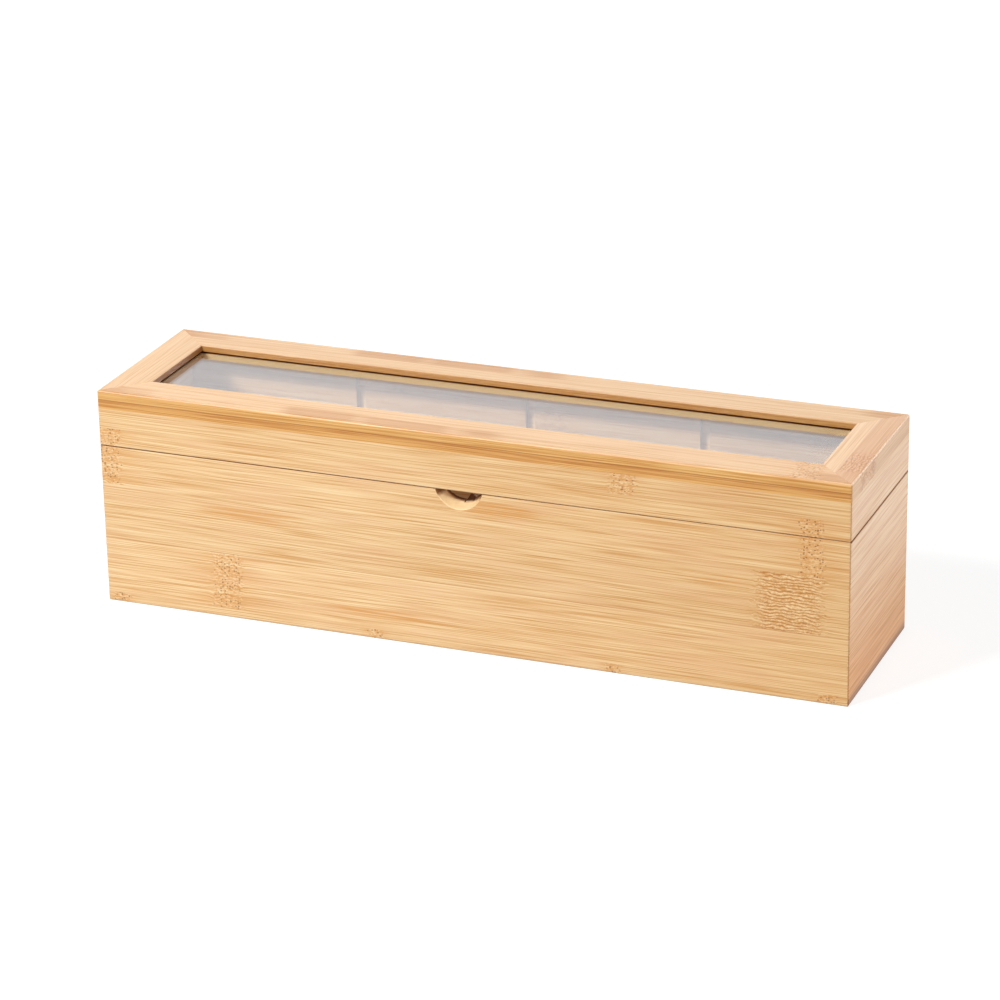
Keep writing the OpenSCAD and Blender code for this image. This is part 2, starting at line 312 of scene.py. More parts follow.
@dataclass
class WallBoard:
    """A wall of the lower part or of the lid: a board with an eased rim, a foot and mitred ends."""

    name: str
    side: Side
    sizes: BoxSizes
    foot: float
    rim: float
    foot_r: float
    panel: float
    notch: Notch | None = None

    def section(self) -> tuple[np.ndarray, np.ndarray]:
        """Draws the board's section from the foot up, with the outer face at depth 0.

        Rounded edges are arcs with one more point close behind each end, which keeps flat faces flat. The
        rim's points are counted down from the rim.

        Returns:
            Depths and heights, and for each point how far it lies below the rim, or -1 away from the rim.
        """
        size, near = self.sizes, 0.15 * MM
        wide, tall = size.wall, abs(self.rim - self.foot)
        rim_r, inner_r = size.rim_r, size.inner_r
        shelf = size.wall / 2
        if self.foot_r > 0:
            foot = np.concatenate((
                [[self.foot_r + near, 0]], arc((self.foot_r, self.foot_r), self.foot_r, 270, 180),
                [[0, self.foot_r + near]]))
        else:
            foot = np.array([[0, 0]])
        rim = np.concatenate((
            [[0, -rim_r - near]], arc((rim_r, -rim_r), rim_r, 180, 90), [[rim_r + near, 0]],
            [[shelf, 0], [size.pocket_deep, 0], [size.pocket_deep, 0]], [[wide - inner_r - near, 0]],
            arc((wide - inner_r, -inner_r), inner_r, 90, 0), [[wide, -inner_r - near]]))
        if self.panel > 0:
            inside = np.array([[wide, self.panel], [shelf, self.panel], [shelf, 0]])
        else:
            inside = np.array([[wide, 0]])
        below = np.concatenate((np.full(len(foot), -1.0), -rim[:, 1], np.full(len(inside), -1.0)))
        rim[:, 1] += tall
        return np.concatenate((foot, rim, inside)), below

    def stations(self) -> tuple[np.ndarray, np.ndarray]:
        """Gives the places along the board, and beside each the place at which its cuts are looked up.

        A cut's edge has two stations at one place, looked up just before and just after it, so that they
        make its square side.
        """
        size = self.sizes
        ends = size.span(self.side)[0] - size.wall - 2 * size.edge_r
        plain = [np.linspace(-ends, ends, 5)]
        edges: list[float] = []
        if self.side in LONG_SIDES:
            way = -1 if self.side is Side.BACK else 1
            edges += [way * x + s * size.groove_wide / 2 for x in size.grooves for s in (-1, 1)]
        if self.side is Side.BACK:
            edges += [x for pocket in size.pockets for x in pocket]
        if self.notch:
            plain.append(self.notch.stations())
        steps = np.array(edges)
        place = np.concatenate((*plain, steps, steps))
        probe = np.concatenate((*plain, steps - TINY, steps + TINY))
        order = np.argsort(probe)
        return place[order], probe[order]

    def in_any(self, probe: np.ndarray, spans: Sequence[tuple[float, float]]) -> np.ndarray:
        """Says which places lie inside one of the spans; a back board runs from right to left."""
        place = -probe if self.side is Side.BACK else probe
        inside = np.zeros(len(place), bool)
        for low, high in spans:
            inside |= (place > low) & (place < high)
        return inside

    def build(self) -> bpy.types.Object:
        """Makes the board: end stations on the mitre, and stations between them with grooves and cuts."""
        size = self.sizes
        half, reach = size.span(self.side)
        section, below = self.section()
        tall = abs(self.rim - self.foot)
        left = mitred_ends(section, half, size.edge_r, size.mitre_cut, 1.5 * size.edge_r)
        place, probe = self.stations()
        along = np.broadcast_to(place[:, None], (len(place), len(section)))
        depth = np.broadcast_to(section[None, :, 0], along.shape)
        height = np.broadcast_to(section[None, :, 1], along.shape).copy()
        if self.side in LONG_SIDES:
            spans = [(x - size.groove_wide / 2, x + size.groove_wide / 2) for x in size.grooves]
            limit = np.where(self.in_any(probe, spans), size.wall - size.groove_deep, size.wall)
            depth = np.minimum(depth, limit[:, None])
        at_rim = below >= 0
        if self.notch:
            high = self.notch.floor(along, depth, tall) - below
            height = np.where(at_rim, high, height)
        if self.side is Side.BACK:
            pocket = np.arange(len(section)) <= np.flatnonzero(section[:, 0] == size.pocket_deep)[0]
            sunk = self.in_any(probe, size.pockets)[:, None] & (at_rim & pocket)[None]
            height = np.where(sunk, np.minimum(height, tall - size.pocket_high), height)
        along, depth, height = (
            np.concatenate((end, middle, sign * end[::-1]))
            for end, middle, sign in zip(left, (along, depth, height), (-1, 1, 1)))
        z = self.foot + math.copysign(1.0, self.rim - self.foot) * height
        return skin(self.name, place_on(self.side, along, depth, z, reach))


@dataclass
class FrameRail:
    """A rail of the lid frame, grooved for the pane and mitred at both ends."""

    name: str
    side: Side
    sizes: BoxSizes
    groove: tuple[float, float]
    groove_deep: float = 6.0 * MM

    def section(self) -> np.ndarray:
        """Draws the rail's section: eased outside at the top and along the window, with the pane's groove."""
        size, near = self.sizes, 0.15 * MM
        wide, low, top = size.rail, size.rail_low, size.top
        edge, window = size.edge_r, size.window_r
        back = wide - self.groove_deep
        return np.concatenate((
            [[0, low], [0, top - edge - near]],
            arc((edge, top - edge), edge, 180, 90), [[edge + near, top], [wide - window - near, top]],
            arc((wide - window, top - window), window, 90, 0),
            [[wide, top - window - near], [wide, self.groove[1]], [back, self.groove[1]]],
            [[back, self.groove[0]], [wide, self.groove[0]], [wide, low + window + near]],
            arc((wide - window, low + window), window, 0, -90), [[wide - window - near, low]]))

    def build(self) -> bpy.types.Object:
        """Makes the rail, whose middle is straight between the end stations."""
        size = self.sizes
        half, reach = size.span(self.side)
        end = mitred_ends(self.section(), half, size.edge_r, size.mitre_cut, size.edge_r)
        along, depth, z = (
            np.concatenate((part, sign * part[::-1])) for part, sign in zip(end, (-1, 1, 1)))
        return skin(self.name, place_on(self.side, along, depth, z, reach))


def eased_slab(
    name: str, lo: Vector, hi: Vector, radius: float, top_r: float | None = None,
    ceiling: Callable[[np.ndarray, np.ndarray], np.ndarray] | None = None,
) -> bpy.types.Object:
    """Makes a flat board with rounded edges, carried along Y.

    The section is a rectangle with arcs at its corners, and towards each end it shrinks by
    radius * (1 - sin a) while the place moves by radius * (1 - cos a), with a from 0 to 90 degrees. Where
    there is a ceiling lower than the board, the upper half of the section comes down by the difference.

    Args:
        name: the piece's name.
        lo: lowest corner.
        hi: highest corner.
        radius: radius of all edges.
        top_r: radius of the two long upper edges, where it differs.
        ceiling: gives the height that the top is cut down to, for places along X and Y.
    Returns:
        The new object.
    """
    upper = top_r or radius
    near, cut_from, cut_to = 0.12 * MM, 1.0 * MM, 12.0 * MM
    section = np.concatenate((
        arc((lo.x + radius, lo.z + radius), radius, 270, 180), [[lo.x, lo.z + radius + near]],
        [[lo.x, hi.z - upper - near]], arc((lo.x + upper, hi.z - upper), upper, 180, 90),
        [[lo.x + upper + near, hi.z], [hi.x - upper - near, hi.z]],
        arc((hi.x - upper, hi.z - upper), upper, 90, 0), [[hi.x, hi.z - upper - near]],
        [[hi.x, lo.z + radius + near]], arc((hi.x - radius, lo.z + radius), radius, 0, -90),
        [[hi.x - radius - near, lo.z], [lo.x + radius + near, lo.z]]))
    swing = np.radians(np.linspace(0, 90, 5))
    moved = np.append(radius * (1 - np.cos(swing)), radius + near)
    shrunk = np.append(radius * (1 - np.sin(swing)), 0)
    rings = section[None] + inward(section)[None] * shrunk[:, None, None]
    between = np.linspace(lo.y + cut_from, lo.y + cut_to, 34) if ceiling else np.array([])
    plain = np.broadcast_to(section[None], (len(between), *section.shape))
    rings = np.concatenate((rings, plain, rings[::-1]))
    y = np.concatenate((lo.y + moved, between, hi.y - moved[::-1]))[:, None]
    y = np.broadcast_to(y, rings.shape[:2])
    z = rings[..., 1]
    if ceiling:
        lower = np.maximum(hi.z - ceiling(rings[..., 0], y), 0)
        z = np.where(z > (lo.z + hi.z) / 2, z - lower, z)
    return skin(name, np.stack((rings[..., 0], y, z), -1))


def turned_pin(name: str, lo: Vector, hi: Vector) -> bpy.types.Object:
    """Makes a hinge pin: a wire along X whose radius follows a quarter ellipse at its domed ends.

    Args:
        name: the piece's name.
        lo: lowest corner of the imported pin.
        hi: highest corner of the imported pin.
    Returns:
        The new object.
    """
    radius = (hi.z - lo.z) / 2
    dome, behind_dome = 0.35 * radius, 1.4
    swing = np.radians(np.linspace(8, 90, 7))
    place = np.concatenate((lo.x + dome * (1 - np.cos(swing)), [lo.x + dome * behind_dome]))
    reach = np.concatenate((radius * np.sin(swing), [radius]))
    place = np.concatenate((place, (lo.x + hi.x) - place[::-1]))
    reach = np.concatenate((reach, reach[::-1]))
    angle = np.linspace(0, 2 * math.pi, 40, endpoint=False)
    y = (lo.y + hi.y) / 2 + reach[:, None] * np.cos(angle)
    z = (lo.z + hi.z) / 2 + reach[:, None] * np.sin(angle)
    return skin(name, np.stack((np.broadcast_to(place[:, None], y.shape), y, z), -1))


def eased_copy(name: str, node: str, width: float) -> bpy.types.Object:
    """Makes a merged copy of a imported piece, with flat faces whole again and its edges bevelled."""
    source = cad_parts[node].data
    points = np.zeros(len(source.vertices) * 3)
    source.vertices.foreach_get("co", points)
    made = new_piece(name, points.reshape(-1, 3).tolist(), [list(face.vertices) for face in source.polygons])
    work = bmesh.new()
    work.from_mesh(made.data)
    bmesh.ops.remove_doubles(work, verts=work.verts, dist=1e-6)
    bmesh.ops.dissolve_limit(work, angle_limit=math.radians(1), verts=work.verts, edges=work.edges)
    work.to_mesh(made.data)
    work.free()
    smooth_up_to(made.data, 30)
    bevel = made.modifiers.new("eased", "BEVEL")
    bevel.width, bevel.segments, bevel.limit_method = width, 2, "ANGLE"
    bevel.angle_limit = math.radians(35)
    bevel.harden_normals = True
    return made


class Term:
    """A value of a node tree to reckon with: each operation adds a Math node and gives a new term."""

    def __init__(self, graph: "Graph", socket: bpy.types.NodeSocket) -> None:
        """Keeps the graph and the socket that gives the value."""
        self.graph, self.socket = graph, socket

    def __add__(self, other: "Value") -> "Term":
        """Adds."""
        return self.graph.maths("ADD", self, other)

    def __sub__(self, other: "Value") -> "Term":
        """Takes away."""
        return self.graph.maths("SUBTRACT", self, other)

    def __rsub__(self, other: "Value") -> "Term":
        """Is taken away from a constant."""
        return self.graph.maths("SUBTRACT", other, self)

    def __mul__(self, other: "Value") -> "Term":
        """Multiplies."""
        return self.graph.maths("MULTIPLY", self, other)

    def __truediv__(self, other: "Value") -> "Term":
        """Divides."""
        return self.graph.maths("DIVIDE", self, other)

    def __abs__(self) -> "Term":
        """Drops the sign."""
        return self.graph.maths("ABSOLUTE", self)

    def __lt__(self, other: "Value") -> "Term":
        """Gives 1 where it is less, and 0 elsewhere."""
        return self.graph.maths("LESS_THAN", self, other)

    def __gt__(self, other: "Value") -> "Term":
        """Gives 1 where it is greater, and 0 elsewhere."""
        return self.graph.maths("GREATER_THAN", self, other)

    def max(self, other: "Value") -> "Term":
        """Gives the greater of two."""
        return self.graph.maths("MAXIMUM", self, other)

    def min(self, other: "Value") -> "Term":
        """Gives the lesser of two."""
        return self.graph.maths("MINIMUM", self, other)


Value = float | int | tuple | bpy.types.NodeSocket | Term
Terms = dict[str, Term]
Factor = tuple[float, float, float]


class Graph:
    """Short calls that grow a node tree."""

    def __init__(self, tree: bpy.types.NodeTree) -> None:
        """Keeps the tree."""
        self.tree = tree

    def feed(self, node: bpy.types.Node, values: dict[str | int, Value]) -> None:
        """Links terms to a node's inputs, and sets the inputs whose values are constants."""
        for key, value in values.items():
            source = value.socket if isinstance(value, Term) else value
            if isinstance(source, bpy.types.NodeSocket):
                self.tree.links.new(source, node.inputs[key])
            else:
                node.inputs[key].default_value = source

    def node(
        self, kind: str, feeds: dict[str | int, Value] | None = None, **settings: object
    ) -> bpy.types.Node:
        """Adds a node, with settings by name and values or links for its inputs."""
        made = self.tree.nodes.new(kind)
        for key, value in settings.items():
            setattr(made, key, value)
        self.feed(made, feeds or {})
        return made

    def term(self, kind: str, feeds: dict[str | int, Value], **settings: object) -> Term:
        """Adds a node and gives its first output."""
        return Term(self, self.node(kind, feeds, **settings).outputs[0])

    def maths(self, operation: str, *values: Value) -> Term:
        """Adds a Math node."""
        return self.term("ShaderNodeMath", dict(enumerate(values)), operation=operation)

    def length(self, x: Term, y: Term) -> Term:
        """Gives the length of two sides at right angles."""
        return self.maths("SQRT", x * x + y * y)

    def scaled(self, vector: Value, factors: Factor) -> Term:
        """Multiplies a vector axis by axis."""
        return self.term("ShaderNodeVectorMath", {0: vector, 1: factors}, operation="MULTIPLY")

    def joined(self, x: Value, y: Value, z: Value) -> Term:
        """Joins three values to a vector."""
        return self.term("ShaderNodeCombineXYZ", {0: x, 1: y, 2: z})

    def axes(self, vector: Value) -> tuple[Term, ...]:
        """Splits a vector in three."""
        return tuple(Term(self, axis) for axis in self.node("ShaderNodeSeparateXYZ", {0: vector}).outputs)

    def noise(self, vector: Value, detail: float = 2.0, rough: float = 0.5, bend: float = 0.0) -> Term:
        """Adds a Noise node of one cell a unit."""
        return self.term("ShaderNodeTexNoise", {
            "Vector": vector, "Scale": 1.0, "Detail": detail, "Roughness": rough, "Distortion": bend})

    def ease(self, value: Value, low: Value, high: Value, start: Value = 0.0, end: Value = 1.0) -> Term:
        """Goes smoothly from start to end while the value goes from low to high."""
        feeds = {"Value": value, "From Min": low, "From Max": high, "To Min": start, "To Max": end}
        return self.term("ShaderNodeMapRange", feeds, interpolation_type="SMOOTHSTEP")

    def fade(self, value: Value, low: Value, high: Value) -> Term:
        """Goes smoothly from 1 to 0 while the value goes from low to high."""
        return self.ease(value, low, high, 1.0, 0.0)

    def ramp(self, value: Value, low: float, high: float) -> Term:
        """Goes straight from 0 to 1 while the value goes from low to high, and stays there beyond."""
        return self.term("ShaderNodeMapRange", {"Value": value, "From Min": low, "From Max": high})

    def mix(self, share: Value, first: Value, second: Value, blend: str = "MIX") -> Term:
        """Mixes two colours."""
        made = self.node("ShaderNodeMix", data_type="RGBA", blend_type=blend)
        self.feed(made, {0: share, 6: first, 7: second})
        return Term(self, made.outputs[2])

    def shaded(self, share: Value, colour: Value, factor: Factor | Term) -> Term:
        """Multiplies a colour by a factor for each channel, as far as the share goes."""
        return self.mix(share, colour, (*factor, 1.0) if isinstance(factor, tuple) else factor, "MULTIPLY")


class EffectGroup:
    """A shader node group of a place in millimetres and named inputs, built the first time it is asked for."""

    def __init__(
        self, name: str, fill: Callable[[Graph, Terms], Terms], outputs: tuple[str, ...], **inputs: Value
    ) -> None:
        """Keeps what the group is made of.

        Args:
            name: the group's name.
            fill: adds the nodes, given the inputs, and returns the outputs.
            outputs: the outputs' names; the one named Colour is a colour, and the others are numbers.
            inputs: default values by input name, with an underscore for each space; four numbers are a colour.
        """
        self.name, self.fill, self.outputs = name, fill, outputs
        self.inputs = {"Vector": (0.0, 0.0, 0.0), **self.spaced(inputs)}

    @staticmethod
    def spaced(values: dict[str, Value]) -> dict[str, Value]:
        """Puts spaces for the underscores in the names."""
        return {name.replace("_", " "): value for name, value in values.items()}

    def tree(self) -> bpy.types.NodeTree:
        """Builds the group once."""
        found = bpy.data.node_groups.get(self.name)
        if found:
            return found
        tree = bpy.data.node_groups.new(self.name, "ShaderNodeTree")
        for name, value in self.inputs.items():
            count = len(value) if isinstance(value, tuple) else 1
            kind = {1: "NodeSocketFloat", 3: "NodeSocketVector", 4: "NodeSocketColor"}[count]
            tree.interface.new_socket(name=name, in_out="INPUT", socket_type=kind).default_value = value
        for name in self.outputs:
            kind = "NodeSocketColor" if name == "Colour" else "NodeSocketFloat"
            tree.interface.new_socket(name=name, in_out="OUTPUT", socket_type=kind)
        graph = Graph(tree)
        start = graph.node("NodeGroupInput")
        results = self.fill(graph, {name: Term(graph, start.outputs[name]) for name in self.inputs})
        graph.node("NodeGroupOutput", results)
        return tree

    def use(self, graph: Graph, **feeds: Value) -> Terms:
        """Places the group in a material or another group.

        Args:
            graph: the tree to place it in.
            feeds: values or terms by input name, with an underscore for each space.
        Returns:
            The outputs by name.
        """
        made = graph.node("ShaderNodeGroup", self.spaced(feeds), node_tree=self.tree())
        return {socket.name: Term(graph, socket) for socket in made.outputs}


def fill_fibres(graph: Graph, given: Terms) -> Terms:
    """Bamboo fibres: noise drawn out along the grain at four widths, shifted and sloped anew in each strip."""
    along, across, through = graph.axes(given["Vector"])
    strips = (across - given["Seam"]) / given["Pitch"]
    index = graph.maths("FLOOR", strips)
    share = strips - index
    number = graph.maths("MULTIPLY_ADD", index, 7.31, given["Seed"])
    chance = graph.node("ShaderNodeTexWhiteNoise", {"W": number}, noise_dimensions="1D")
    shade, slope, shift = graph.axes(chance.outputs["Color"])
    lean = (slope - 0.5) * given["Drift"]
    wander = (graph.noise(graph.joined(along / 85.0, number, 0.0), 1.0) - 0.5) * 0.7
    ripple = graph.noise(graph.scaled(given["Vector"], (0.20, 0.30, 0.30)), 2.0, 0.5, 0.5)
    curl = (ripple - 0.5) * (given["Curl"] * 12.0)
    place = graph.joined(shift * 900.0 + along, along * lean + across + wander + curl, through)
    cells = {"Broad": (100, 5, 1.0, 0.5), "Streak": (64, 0.8, 2.0, 0.7), "Fine": (38, 0.38, 1.0, 0.5),
             "Flame": (40, 8, 2.0, 0.5)}
    found = {name: graph.noise(graph.scaled(place, (1 / long, 1 / wide, 1 / wide)), detail, rough)
             for name, (long, wide, detail, rough) in cells.items()}
    near = share.min(1.0 - share) * given["Pitch"]
    return {**found, "Shade": shade, "Seam": graph.fade(near, 0.04, 0.24)}


def fill_node_ring(graph: Graph, given: Terms) -> Terms:
    """The band where a bamboo stem had a node: a core across one strip, and a halo along the grain."""
    along, across, _ = graph.axes(given["Vector"])
    centre, low, high, half = given["Centre"], given["Low"], given["High"], given["Width"] * 0.5
    uneven = graph.noise(graph.joined(centre, across / 5.0, 0.0), 2.0)
    ragged = graph.noise(graph.joined(centre, across / 0.9, 4.0), 2.0, 0.7)
    away = (ragged - 0.5) * 5.0 + abs(along - ((uneven - 0.5) * 5.0 + centre))
    inside = graph.ease(across, low - 0.1, low) * graph.fade(across, high - 0.1, high)
    wavy = graph.fade(away, half * 0.6, half * 1.5) * inside
    return {"Core": graph.fade(away, half * 0.75, half * 1.1) * inside,
            "Halo": graph.fade(away, half * 0.7, half + given["Halo"]) * inside, "Curl": wavy * given["Curly"]}


def fill_speckles(graph: Graph, given: Terms) -> Terms:
    """The mottle of a node band: fine crumbs, dark pores in some cells of a fine pattern, and wavy ripples."""
    place = given["Vector"]
    cells = graph.node("ShaderNodeTexVoronoi", {
        "Vector": graph.scaled(place, (1 / 1.15, 1 / 0.85, 1 / 0.85)), "Scale": 1.0, "Randomness": 1.0})
    picked = graph.ease(graph.axes(cells.outputs["Color"])[0], 0.62, 0.68)
    crumbs = graph.noise(graph.scaled(place, (1 / 1.3, 1 / 0.7, 1 / 0.7)), 2.0, 0.7, 0.6)
    bend = graph.noise(graph.scaled(place, (0.15, 0.22, 0.22)), 2.0, 0.6)
    wave = graph.maths("SINE", bend * 16.0 + graph.axes(place)[1] * 4.4)
    return {"Pores": picked * graph.fade(cells.outputs["Distance"], 0.30, 0.50), "Crumbs": crumbs,
            "Swirl": wave * 0.5 + 0.5}


def fill_flame(graph: Graph, given: Terms) -> Terms:
    """An orange flame in a strip: a soft ellipse, drawn out along the grain and torn at its ends."""
    along, across, _ = graph.axes(given["Vector"])
    torn = graph.noise(graph.joined(along / 60.0, across / 0.9, 9.0), 2.0)
    x = (along - given["Along"]) / (given["Long"] * 0.5)
    y = (across - given["Across"]) / (given["High"] * 0.5)
    return {"Mask": graph.fade((torn - 0.5) * 2.2 + graph.length(x, y), 0.45, 1.15)}


def fill_glue_line(graph: Graph, given: Terms) -> Terms:
    """A glue line that shows between two strips, with a pale line just below it."""
    above = graph.axes(given["Vector"])[1] - given["Level"]
    return {"Dark": graph.fade(abs(above), 0.08, 0.34), "Pale": graph.fade(abs(above + 0.55), 0.15, 0.45)}


def fill_mitre_line(graph: Graph, given: Terms) -> Terms:
    """The glue line where two boards meet at 45 degrees, as deep behind one face as behind the other."""
    x, y, _ = graph.axes(given["Vector"])
    off = abs((given["Half Length"] - abs(x)) - (given["Half Depth"] - abs(y)))
    return {"Line": graph.fade(off, given["Width"] * 0.5, given["Width"])}


def fill_bamboo(graph: Graph, given: Terms) -> Terms:
    """The lacquered surface: fibres, seams and node bands as colour, roughness and a very low relief."""
    fibre = FIBRES.use(graph, **{name: given[name] for name in ("Vector", "Seam", "Pitch", "Seed", "Curl")})
    speck = SPECKLES.use(graph, Vector=given["Vector"])
    streak, swirl, crumbs = fibre["Streak"], speck["Swirl"], speck["Crumbs"]
    tone = fibre["Fine"] * 0.62 + (streak * 0.31 + fibre["Broad"] * 0.07)
    tone = (tone - 0.5) * (given["Curl"] * 4.0 + given["Contrast"]) + 0.5
    colour = graph.mix(graph.ramp(tone, 0.0, 0.5), given["Deep"], given["Tan"])
    colour = graph.mix(graph.ramp(tone, 0.5, 1.0), colour, given["Cream"])
    colour = graph.mix(graph.ease(fibre["Flame"], 0.50, 0.36) * 0.25, colour, given["Pink"])
    warm = (graph.ease(fibre["Flame"], 0.55, 0.70) * given["Flames"]).max(given["Flame"] * 0.75)
    warm = warm.max(given["Halo"] * 0.4) * graph.ease(streak, 0.60, 0.42, 0.12, 1.0)
    colour = graph.mix(warm, colour, given["Amber"])
    tint = graph.ease(fibre["Shade"], 0.0, 1.0, 0.965, 1.02)
    colour = graph.shaded(1.0, colour, graph.joined(tint, tint, graph.maths("POWER", tint, 1.3)))
    curly = graph.ramp(given["Curl"], 0.2, 1.0)
    mottled = given["Core"] * (curly * -0.75 + 1.0)
    pores = mottled * (speck["Pores"] * 0.75)
    layers = (
        (graph.ease(swirl, 0.46, 0.14) * curly * graph.ease(crumbs, 0.60, 0.44, 0.2, 0.95), "Amber"),
        (graph.ease(swirl, 0.22, 0.0, 0.0, 0.5) * curly, "Pore"),
        (graph.ease(swirl, 0.58, 0.86) * curly * graph.ease(crumbs, 0.42, 0.58, 0.2, 1.0), "Cream"),
        (mottled * graph.ease(crumbs, 0.52, 0.38, 0.0, 0.75), "Amber"),
        (mottled * graph.ease(crumbs, 0.52, 0.64, 0.0, 0.6), "Cream"),
        (pores, "Pore"), (fibre["Seam"] * given["Seams"], "Pore"), (given["Joint"], "Pore"))
    for share, paint in layers:
        colour = graph.mix(share, colour, given[paint])
    rough = graph.ease(streak, 0.3, 0.7, 0.06, -0.04) + given["Roughness"]
    return {"Colour": colour, "Roughness": pores.max(given["Joint"]) * 0.45 + rough,
            "Height": fibre["Fine"] * 0.35 + streak - fibre["Seam"] * 0.3}


def fill_metal(graph: Graph, given: Terms) -> Terms:
    """Plated brass: fine rolling marks along X, cloudy tarnish, and duller patches."""
    marks = graph.noise(graph.scaled(given["Vector"], (0.12, 6.0, 6.0)), 3.0, 0.6)
    cloud = graph.noise(graph.scaled(given["Vector"], (0.30, 0.30, 0.30)), 4.0, 0.6)
    return {"Colour": graph.mix(graph.ease(cloud, 0.35, 0.75), given["Bright"], given["Dull"]),
            "Roughness": given["Roughness"] + graph.ease(cloud, 0.3, 0.8, -0.05, 0.16), "Height": marks}


STRIPS = {"Seam": 0.0, "Pitch": 25.0, "Seed": 0.0, "Curl": 0.0}
FIBRES = EffectGroup(
    "bamboo fibres", fill_fibres, ("Broad", "Streak", "Fine", "Flame", "Shade", "Seam"), **STRIPS, Drift=0.008)
NODE_RING = EffectGroup(
    "bamboo node ring", fill_node_ring, ("Core", "Halo", "Curl"),
    Centre=0.0, Width=12.0, Low=0.0, High=25.0, Halo=18.0, Curly=1.0)
SPECKLES = EffectGroup("bamboo speckles", fill_speckles, ("Pores", "Crumbs", "Swirl"))
FLAME = EffectGroup("bamboo flame", fill_flame, ("Mask",), Along=0.0, Across=0.0, Long=40.0, High=8.0)
GLUE_LINE = EffectGroup("glue line", fill_glue_line, ("Dark", "Pale"), Level=0.0)
MITRE_LINE = EffectGroup(
    "mitre line", fill_mitre_line, ("Line",), Half_Length=HALF_LENGTH, Half_Depth=HALF_DEPTH, Width=0.2)
BAMBOO = EffectGroup(
    "lacquered bamboo", fill_bamboo, ("Colour", "Roughness", "Height"), **STRIPS, Core=0.0, Halo=0.0, Flame=0.0,
    Joint=0.0, Seams=0.1, Flames=0.15, Contrast=3.6, Roughness=0.4, Cream=srgb(252, 222, 174),
    Tan=srgb(241, 200, 147), Deep=srgb(214, 158, 92), Pink=srgb(239, 191, 148), Amber=srgb(222, 156, 82),
    Pore=srgb(142, 80, 22))
METAL = EffectGroup(
    "plated brass", fill_metal, ("Colour", "Roughness", "Height"),
    Roughness=0.3, Bright=srgb(218, 190, 136), Dull=srgb(178, 146, 94))


def new_material(name: str) -> tuple[bpy.types.Material, Graph, bpy.types.Node, Term]:
    """Starts a material.

    Args:
        name: the material's name.
    Returns:
        The material, its graph, its Principled shader, and object coordinates in millimetres.
    """
    material = bpy.data.materials.new(name)
    material.use_nodes = True
    graph = Graph(material.node_tree)
    shader = material.node_tree.nodes["Principled BSDF"]
    coordinates = graph.node("ShaderNodeTexCoord").outputs["Object"]
    return material, graph, shader, graph.scaled(coordinates, (1 / MM, 1 / MM, 1 / MM))


def strip(number: int) -> tuple[float, float]:
    """Gives the lower and the upper seam of one of the strips that the walls are laminated from."""
    return WALL_SEAM + WALL_PITCH * number, WALL_SEAM + WALL_PITCH * (number + 1)


@dataclass(frozen=True)
class NodeRing:
    """Where a stem's node crosses one strip of a board, in millimetres of the board's own grain."""

    along: float
    low: float
    high: float
    width: float = 12.0
    halo: float = 18.0
    curly: float = 0.35


@dataclass(frozen=True)
class Flame:
    """An orange flame in a board, in millimetres of the board's own grain."""

    along: float
    across: float
    long: float = 50.0
    high: float = 8.0


@dataclass(frozen=True)
class Fade:
    """A slow change of tone across a board, some of them painted light and shade: from one factor to another
    along an axis of its own grain.
    """

    axis: int
    start: float
    end: float
    first: Factor = (1.0, 1.0, 1.0)
    last: Factor = (1.0, 1.0, 1.0)

    def over(self, graph: Graph, place: Term, colour: Term) -> Term:
        """Multiplies a colour by the factors, given places in millimetres."""
        share = graph.ramp(graph.axes(place)[self.axis], self.start, self.end)
        return graph.shaded(1.0, colour, graph.mix(share, (*self.first, 1.0), (*self.last, 1.0)))


